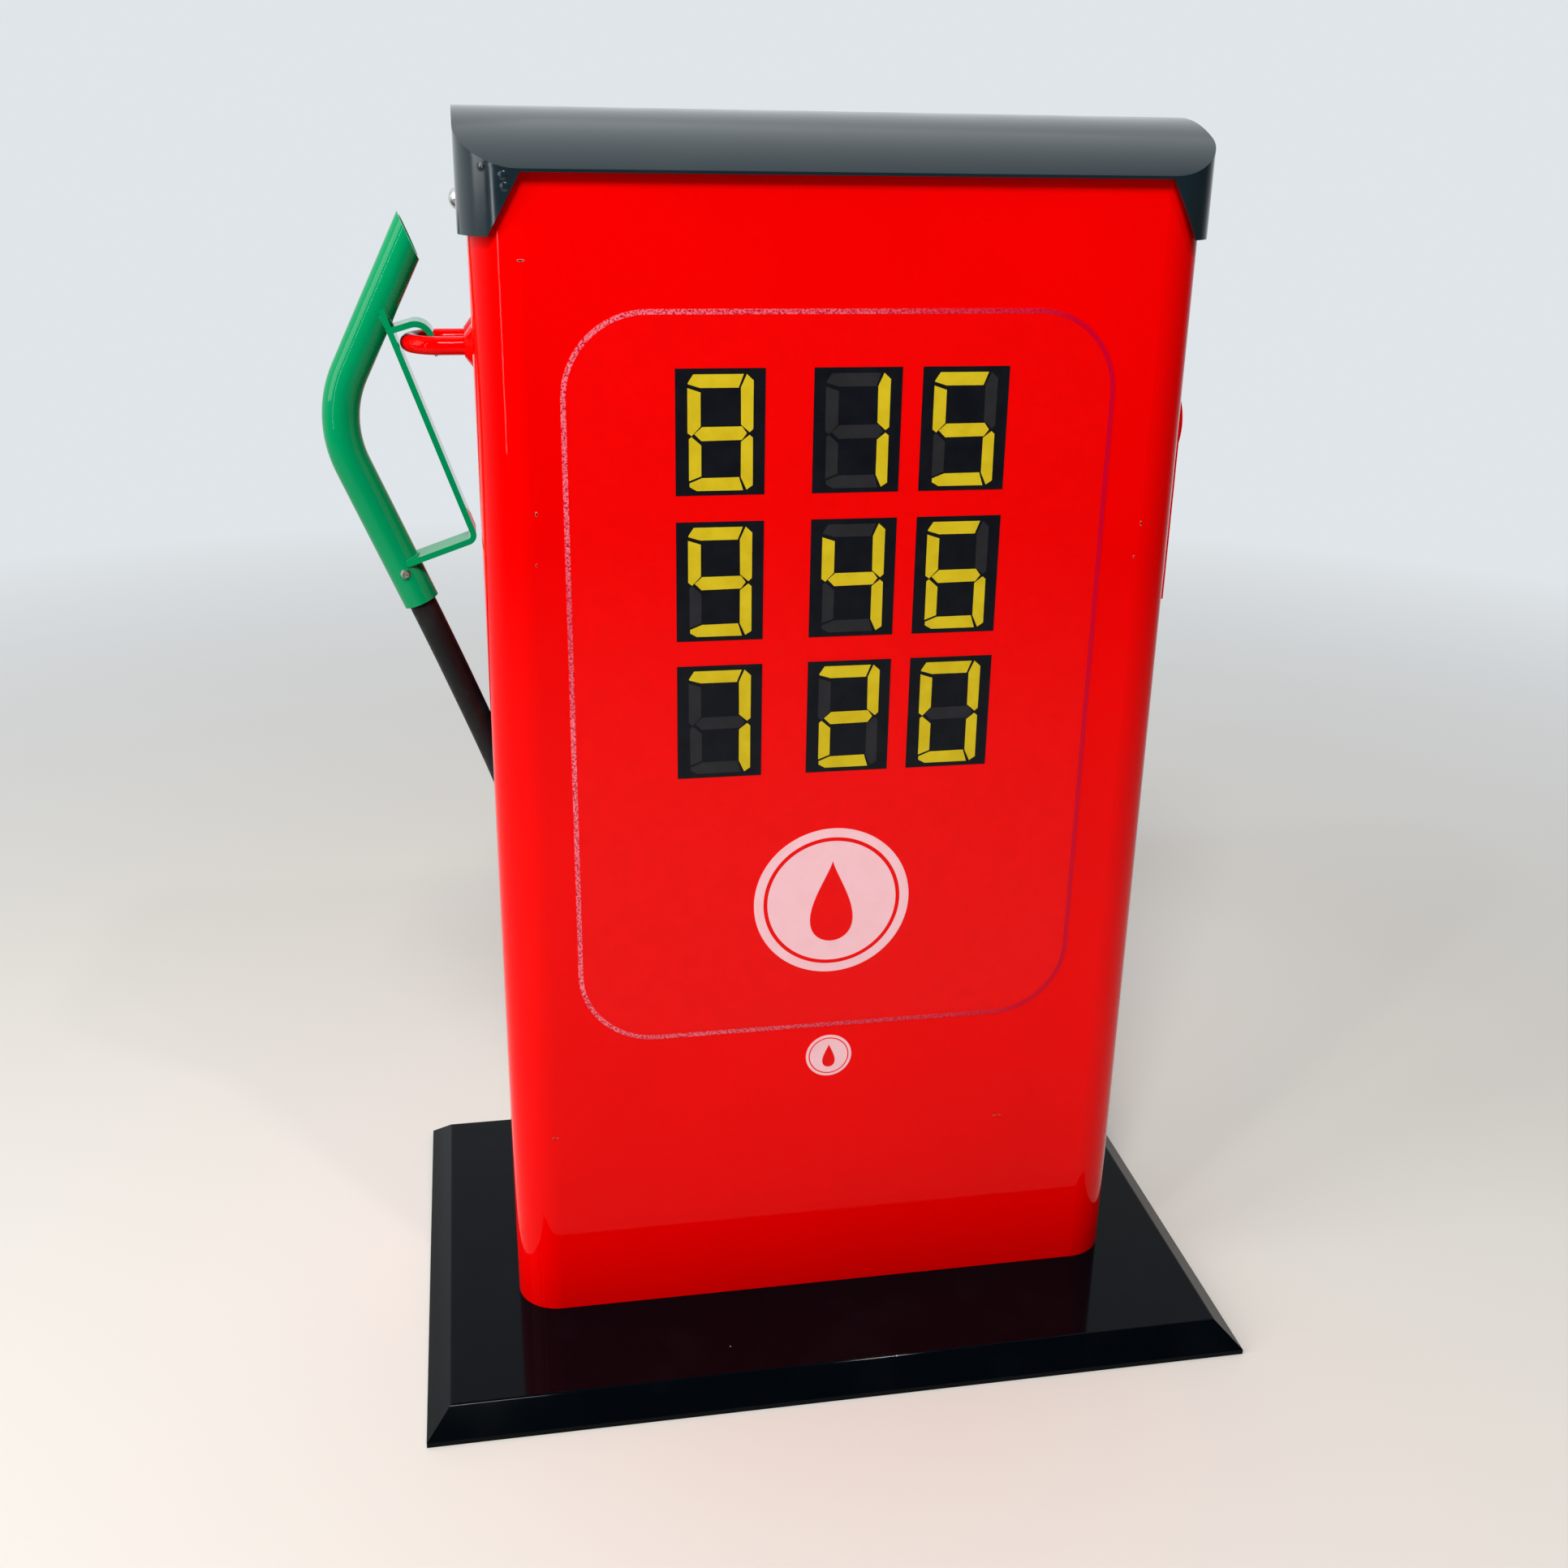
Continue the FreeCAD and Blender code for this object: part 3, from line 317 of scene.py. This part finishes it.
def rounded_outline(low, high, corner, steps=16):
    """The (x, z) points of a rounded rectangle."""
    points = []
    for turn, (sx, sz) in enumerate(((1, 1), (-1, 1), (-1, -1), (1, -1))):
        centre_x = (high[0] if sx > 0 else low[0]) - sx * corner
        centre_z = (high[1] if sz > 0 else low[1]) - sz * corner
        for step in range(steps + 1):
            angle = math.pi / 2 * (turn + step / steps)
            points.append((centre_x + corner * math.cos(angle), centre_z + corner * math.sin(angle)))
    return points


def ring(mesh, outer, inner, y, thick):
    """A flat band between two outlines with the same number of points, facing -Y."""
    rows = [
        [mesh.verts.new((x, place, z)) for x, z in outline]
        for outline, place in ((outer, y), (outer, y - thick), (inner, y - thick), (inner, y))
    ]
    count = len(outer)
    for near, far in zip(rows, rows[1:]):
        for i in range(count):
            j = (i + 1) % count
            mesh.faces.new((near[i], near[j], far[j], far[i]))


def sweep(mesh, points, radii, side, sides):
    """A closed tube along the points, with a radius for each; its first corner lies towards side."""
    turns = [2 * math.pi * k / sides for k in range(sides)]
    rows = []
    for i, (point, radius) in enumerate(zip(points, radii)):
        ahead = (points[min(i + 1, len(points) - 1)] - points[max(i - 1, 0)]).normalized()
        side = (side - ahead * side.dot(ahead)).normalized()
        other = ahead.cross(side)
        rows.append([
            mesh.verts.new(point + (side * math.cos(turn) + other * math.sin(turn)) * radius)
            for turn in turns
        ])
    for near, far in zip(rows, rows[1:]):
        for k in range(sides):
            mesh.faces.new((near[k], near[(k + 1) % sides], far[(k + 1) % sides], far[k]))
    mesh.faces.new(rows[0])
    mesh.faces.new(rows[-1][::-1])


# ---------------------------------------------------------------- printed front
INK = 0.06 * MM  # thickness of anything printed

# Outlines of the seven bars of a digit, as shares of the label's width and height from its lower left corner
BARS = {
    "top": [(0.14, 0.89), (0.20, 0.955), (0.757, 0.955), (0.70, 0.85), (0.275, 0.85), (0.14, 0.88)],
    "upper_left": [(0.135, 0.85), (0.28, 0.815), (0.28, 0.55), (0.18, 0.475), (0.135, 0.50)],
    "upper_right": [
        (0.79, 0.955), (0.866, 0.905), (0.866, 0.525), (0.826, 0.50), (0.73, 0.56), (0.725, 0.85),
    ],
    "middle": [(0.21, 0.49), (0.295, 0.545), (0.74, 0.547), (0.795, 0.493), (0.74, 0.44), (0.287, 0.435)],
    "lower_left": [(0.15, 0.452), (0.18, 0.468), (0.287, 0.40), (0.287, 0.155), (0.15, 0.117)],
    "lower_right": [
        (0.826, 0.48), (0.863, 0.457), (0.866, 0.075), (0.795, 0.042), (0.73, 0.143), (0.73, 0.425),
    ],
    "bottom": [(0.156, 0.10), (0.295, 0.14), (0.71, 0.143), (0.757, 0.037), (0.235, 0.037), (0.156, 0.07)],
}
DARK_BARS = {
    "8": [],
    "1": ["top", "upper_left", "middle", "lower_left", "bottom"],
    "5": ["upper_right", "lower_left"],
    "9": ["lower_left"],
    "4": ["top", "lower_left", "bottom"],
    "6": ["upper_right"],
    "7": ["upper_left", "middle", "lower_left", "bottom"],
    "2": ["upper_left", "lower_right"],
    "0": ["middle"],
}
ROWS = ["815", "946", "720"]


def digits():
    """The bars printed on each digit label, lit ones in mustard yellow and the others in dark grey."""
    for row, figures in enumerate(ROWS, start=1):
        for column, figure in enumerate(figures, start=1):
            low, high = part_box(f"digit_label_{row}_{column}")
            mesh = bmesh.new()
            for bar, outline in BARS.items():
                points = [
                    (low.x + across * (high.x - low.x), low.z + up * (high.z - low.z))
                    for across, up in outline
                ]
                plate(mesh, points, low.y, INK, 1 if bar in DARK_BARS[figure] else 0)
            piece(f"digit_bars_{row}_{column}", mesh, [LIT_INK, UNLIT_INK])


def label_margin(width=3.3 * MM, corner=56 * MM):
    """The pale broken line round the panel label."""
    low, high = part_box("front_panel_label")
    outer = rounded_outline((low.x, low.z), (high.x, high.z), corner)
    inner = rounded_outline((low.x + width, low.z + width), (high.x - width, high.z - width), corner - width)
    mesh = bmesh.new()
    ring(mesh, outer, inner, low.y, INK)
    piece("panel_label_margin", mesh, MARGIN)


def circle_outline(centre, radius, steps=96):
    turns = [2 * math.pi * i / steps for i in range(steps)]
    return [(centre[0] + radius * math.cos(angle), centre[1] + radius * math.sin(angle)) for angle in turns]


def drop_outline(centre, height, steps=40):
    """A fuel drop: a round bottom that narrows to a point at the top."""
    points = []
    for i in range(steps):
        angle = 2 * math.pi * i / steps
        narrow = math.sin(angle / 2) ** 1.6
        out = 0.36 * height * math.sin(angle) * narrow
        points.append((centre[0] + out, centre[1] + height / 2 * math.cos(angle)))
    return points[::-1]


def emblems():
    """A plain drop in a ring on each round label."""
    for node in ("round_emblem", "small_round_label"):
        low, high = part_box(node)
        size = high.x - low.x
        centre = ((low.x + high.x) / 2, (low.z + high.z) / 2)
        mesh = bmesh.new()
        line = circle_outline(centre, 0.44 * size), circle_outline(centre, 0.415 * size)
        ring(mesh, *line, low.y, INK)
        plate(mesh, drop_outline(centre, 0.56 * size), low.y, INK)
        piece(f"{node}_print", mesh, RED_FILM)


# ---------------------------------------------------------------- hose
HOSE_SIZE = 0.019
HOSE_ROUTE = [
    (-0.2838, 0, 0.5700),
    (-0.2666, 0, 0.5284),
    (-0.2190, 0, 0.4025),
    (-0.2030, 0.002, 0.3120),
    (-0.2000, 0.006, 0.2220),
    (-0.2040, 0.008, 0.1340),
]


def route_points():
    """Points along the smooth curve that the hose follows."""
    curve = bpy.data.curves.new("hose_route", "CURVE")
    curve.dimensions = "3D"
    curve.resolution_u = 24
    spline = curve.splines.new("NURBS")
    spline.points.add(len(HOSE_ROUTE) - 1)
    for point, place in zip(spline.points, HOSE_ROUTE):
        point.co = (*place, 1)
    spline.order_u = 3
    spline.use_endpoint_u = True
    line = bpy.data.objects.new("hose_route", curve)
    bpy.context.scene.collection.objects.link(line)
    mesh = bpy.data.meshes.new_from_object(line)
    points = [v.co.copy() for v in mesh.vertices]
    bpy.data.objects.remove(line)
    bpy.data.curves.remove(curve)
    bpy.data.meshes.remove(mesh)
    return points


def hose():
    """A rubber tube along the route, from the lower end of the nozzle's grip."""
    path = route_points()
    mesh = bmesh.new()
    sweep(mesh, path, [HOSE_SIZE / 2] * len(path), Vector((0, 1, 0)), sides=40)
    tube = smooth(painted("rubber_hose", mesh, RUBBER))
    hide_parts("hose")
    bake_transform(tube)


# ---------------------------------------------------------------- welds
TUBE_RADIUS = 12.5 * MM
GRIP_LENGTH = 138 * MM
GRIP_LEAN, GUARD_LEAN, SPOUT_LEAN = (math.radians(a) for a in (-22.5, -19.2, 26.7))
STRAP = 4 * MM  # thickness of the guard's strap
BEAD_TIP = 0.45  # how wide a weld bead starts and ends, as a share of its full width


def upward(lean):
    """The direction that leans so far to the right of straight up."""
    return Vector((math.sin(lean), 0, math.cos(lean)))


def rightward(lean):
    """The direction square to that one, to the right."""
    return Vector((math.cos(lean), 0, -math.sin(lean)))


def bead(name, points, size, body="nozzle"):
    """A weld bead: an uneven rounded ridge along the points."""
    radii = []
    for i in range(len(points)):
        taper = min(1, BEAD_TIP + (1 - BEAD_TIP) * min(i, len(points) - 1 - i) / 3)
        ripple = 1 + 0.10 * math.sin(1.9 * i) + dice.uniform(-0.05, 0.05)
        radii.append(size / 2 * taper * ripple)
    mesh = bmesh.new()
    sweep(mesh, points, radii, (points[1] - points[0]).orthogonal(), sides=10)
    return smooth(piece(name, mesh, GREEN, body))


def across_tube(start, lean, measured, value, half_angle=1.25, steps=26):
    """Points round the right side of a leaning tube, where its surface reaches a value along a direction."""
    axis, towards = upward(lean), rightward(lean)
    points = []
    for i in range(steps + 1):
        angle = half_angle * (2 * i / steps - 1)
        rim = start + (towards * math.cos(angle) + Vector((0, 1, 0)) * math.sin(angle)) * TUBE_RADIUS
        points.append(rim + axis * ((value - rim.dot(measured)) / axis.dot(measured)))
    return points


def welds():
    """Beads where the guard's strap meets the grip and the spout."""
    end = Vector(HOSE_ROUTE[0])
    corner = end + upward(GRIP_LEAN) * GRIP_LENGTH
    along, across = upward(GUARD_LEAN), rightward(GUARD_LEAN)
    strap = [v.co for v in nodes["trigger_guard"].data.vertices]
    foot, face = min(v.dot(along) for v in strap), max(v.dot(across) for v in strap)
    for name, value in (("lower", foot), ("upper", foot + STRAP)):
        bead(f"weld_foot_{name}", across_tube(end, GRIP_LEAN, along, value), 2.4 * MM)
    for name, value in (("outer", face), ("inner", face - STRAP)):
        bead(f"weld_top_{name}", across_tube(corner, SPOUT_LEAN, across, value), 2.8 * MM)


# ---------------------------------------------------------------- wear
CHIPS = [  # on the cabinet's front: x, z, width and height in metres
    (-0.2086, 0.8064, 0.0050, 0.0013),
    (-0.2047, 0.6492, 0.0016, 0.0030),
    (-0.2059, 0.6155, 0.0014, 0.0022),
    (0.2088, 0.6333, 0.0014, 0.0030),
    (0.2058, 0.6099, 0.0013, 0.0020),
    (-0.2084, 0.1768, 0.0045, 0.0012),
    (0.1357, 0.1635, 0.0060, 0.0010),
]
SPECKS = [  # on the tray's top: x, y and size in metres
    (-0.0848, -0.1553, 0.0011),
    (0.0379, -0.1852, 0.0014),
]
DIMPLES = [  # on the left flap, near its front edge: x, y and z in metres
    (-0.2320, -0.0930, 0.8600),
    (-0.2180, -0.0985, 0.8555),
    (-0.2170, -0.0985, 0.8490),
]
FLAKE_UNEVEN = 0.35  # how far a flake's rim may fall short, as a share of its reach


def flake(name, node, place, width, height, material, slot, thick=0.08 * MM, crown=0.0):
    """A small uneven patch on a node's surface; crown lifts its middle."""
    _, spot, normal, _ = nodes[node].closest_point_on_mesh(Vector(place))
    side = Vector((1, 0, 0))
    side = (side - normal * side.dot(normal)).normalized()
    up = normal.cross(side)
    mesh = bmesh.new()
    count = 14
    uneven = 0 if crown else FLAKE_UNEVEN
    rim = []
    for k in range(count):
        angle, reach = 2 * math.pi * k / count, 1 - uneven * dice.random()
        rim.append(spot + (side * width * math.cos(angle) + up * height * math.sin(angle)) / 2 * reach)
    low = [mesh.verts.new(point - normal * thick) for point in rim]
    high = [mesh.verts.new(spot + (point - spot) * 0.9 + normal * thick) for point in rim]
    top = mesh.verts.new(spot + normal * (thick + crown))
    for k in range(count):
        j = (k + 1) % count
        mesh.faces.new((low[k], low[j], high[j], high[k]))
        mesh.faces.new((high[k], high[j], top))
    mesh.faces.new(low[::-1])
    return smooth(piece(name, mesh, material))


def wear():
    """Chipped paint, specks of dust and the spot-weld marks of the roof's left flap."""
    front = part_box("body_shell")[0].y
    for i, (x, z, width, height) in enumerate(CHIPS):
        place = (x, front, z)
        rim = 1.3 * width, 1.5 * height
        flake(f"chip_rim_{i}", "body_shell", place, *rim, RIM, "red_paint", thick=0.04 * MM)
        flake(f"paint_chip_{i}", "body_shell", place, width, height, BARE, "base_paint")
    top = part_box("base_plate")[1].z
    for i, (x, y, size) in enumerate(SPECKS):
        flake(f"base_speck_{i}", "base_plate", (x, y, top), size, size, DUST, "white_label")
    for i, place in enumerate(DIMPLES):
        flake(f"weld_mark_{i}", "roof_end_left", place, 6 * MM, 6 * MM, ROOF, "roof_paint", crown=0.8 * MM)


# ---------------------------------------------------------------- camera, lights and floor
CAMERA_PLACE = (-0.2429, -1.1789, 0.8918)
CAMERA_TURNS = (10.6165, 21.6213, 1.0086)  # degrees to the right of straight ahead, downwards, and roll
FOCAL_LENGTH = 38.76  # in millimetres, on a sensor 36 mm wide


def camera():
    """Stands where somebody looks down at the pump, a little to its left."""
    lens = bpy.data.cameras.new("camera")
    lens.sensor_width = 36
    lens.lens = FOCAL_LENGTH
    view = bpy.data.objects.new("camera", lens)
    azimuth, down, roll = (math.radians(turn) for turn in CAMERA_TURNS)
    ahead = Vector((math.sin(azimuth) * math.cos(down), math.cos(azimuth) * math.cos(down), -math.sin(down)))
    right = ahead.cross(Vector((0, 0, 1))).normalized()
    up = right.cross(ahead)
    level = Matrix((right, up, -ahead)).transposed()
    turned = level @ Matrix.Rotation(roll, 3, "Z")
    view.matrix_world = Matrix.Translation(CAMERA_PLACE) @ turned.to_4x4()
    bpy.context.scene.collection.objects.link(view)
    bpy.context.scene.camera = view


def light(name, place, target, size, power, color=(1, 1, 1), shape="RECTANGLE"):
    lamp = bpy.data.lights.new(name, "AREA")
    lamp.shape = shape
    lamp.size = size[0]
    lamp.size_y = size[-1]
    lamp.energy = power
    lamp.color = color
    obj = bpy.data.objects.new(name, lamp)
    obj.location = place
    obj.rotation_euler = (Vector(target) - Vector(place)).to_track_quat("-Z", "Y").to_euler()
    obj.visible_camera = False
    bpy.context.scene.collection.objects.link(obj)


def surroundings():
    """A plain pale background, and light from all round, brightest behind the object and to its left."""
    world = bpy.data.worlds.new("studio")
    world.use_nodes = True
    tree = world.node_tree
    direction = tree.nodes.new("ShaderNodeTexCoord").outputs["Generated"]
    along = tree.nodes.new("ShaderNodeVectorMath")
    along.operation = "DOT_PRODUCT"
    along.inputs[1].default_value = Vector((-0.35, 0.92, 0.15)).normalized()
    tree.links.new(direction, along.inputs[0])
    strength = tree.nodes.new("ShaderNodeMapRange")
    strength.interpolation_type = "SMOOTHSTEP"
    for socket, number in (("From Min", -0.25), ("From Max", 0.8), ("To Min", 0.05), ("To Max", 1.0)):
        strength.inputs[socket].default_value = number
    tree.links.new(along.outputs["Value"], strength.inputs["Value"])
    lit = tree.nodes["Background"]
    lit.inputs["Color"].default_value = (0.92, 0.96, 1.0, 1)
    tree.links.new(strength.outputs["Result"], lit.inputs["Strength"])
    seen = tree.nodes.new("ShaderNodeBackground")
    seen.inputs["Color"].default_value = (0.745, 0.783, 0.815, 1)
    mix = tree.nodes.new("ShaderNodeMixShader")
    tree.links.new(tree.nodes.new("ShaderNodeLightPath").outputs["Is Camera Ray"], mix.inputs["Fac"])
    tree.links.new(lit.outputs[0], mix.inputs[1])
    tree.links.new(seen.outputs[0], mix.inputs[2])
    tree.links.new(mix.outputs[0], tree.nodes["World Output"].inputs["Surface"])
    bpy.context.scene.world = world
    bpy.context.scene.view_settings.view_transform = "Standard"


# The floor's paint fades out between these distances from the object, so that no horizon shows
FLOOR_FADE, FLOOR_END = 0.9, 2.8


def studio():
    """Lamps round the object, and a floor that casts and catches its shadow."""
    surroundings()
    light("window", (-2.4, -0.6, 1.6), (0, 0, 0.5), (1.2, 1.8), 34, (1, 0.99, 0.97))
    light("key", (-0.5, -1.75, 2.65), (0, -0.1, 0.5), (0.55, 0.55), 58, (1, 0.985, 0.96))
    light("overhead", (0.4, 0.9, 2.8), (0, 0, 0.3), (1.8, 1.8), 4)
    light("strip", (-1.9, -1.5, 1.1), (-0.24, -0.09, 0.5), (0.1, 1.8), 7, (0.93, 0.96, 1))
    for i, x in enumerate((-1.3, 0.6)):
        light(f"ceiling_spot_{i}", (x, -1.3, 2.6), (0, -0.1, 0.6), (0.14,), 8, (1, 0.97, 0.93), "DISK")
    mesh = bmesh.new()
    bmesh.ops.create_circle(mesh, cap_ends=True, segments=64, radius=FLOOR_END)
    data = bpy.data.meshes.new("floor")
    mesh.to_mesh(data)
    mesh.free()
    floor = bpy.data.objects.new("floor", data)
    pale = Surface("floor_paint", (0.64, 0.61, 0.57), 0.6, Specular_IOR_Level=0.1)
    pale.color(pale.blend(pale.noise(0.6), (0.64, 0.62, 0.58), (0.66, 0.64, 0.60)))
    pale.link(pale.between(pale.distance(), 1, 0, FLOOR_FADE, FLOOR_END), pale.shader.inputs["Alpha"])
    data.materials.append(pale.material)
    bpy.context.scene.collection.objects.link(floor)


paint_cad_nodes()
digits()
label_margin()
emblems()
hose()
welds()
wear()
camera()
studio()
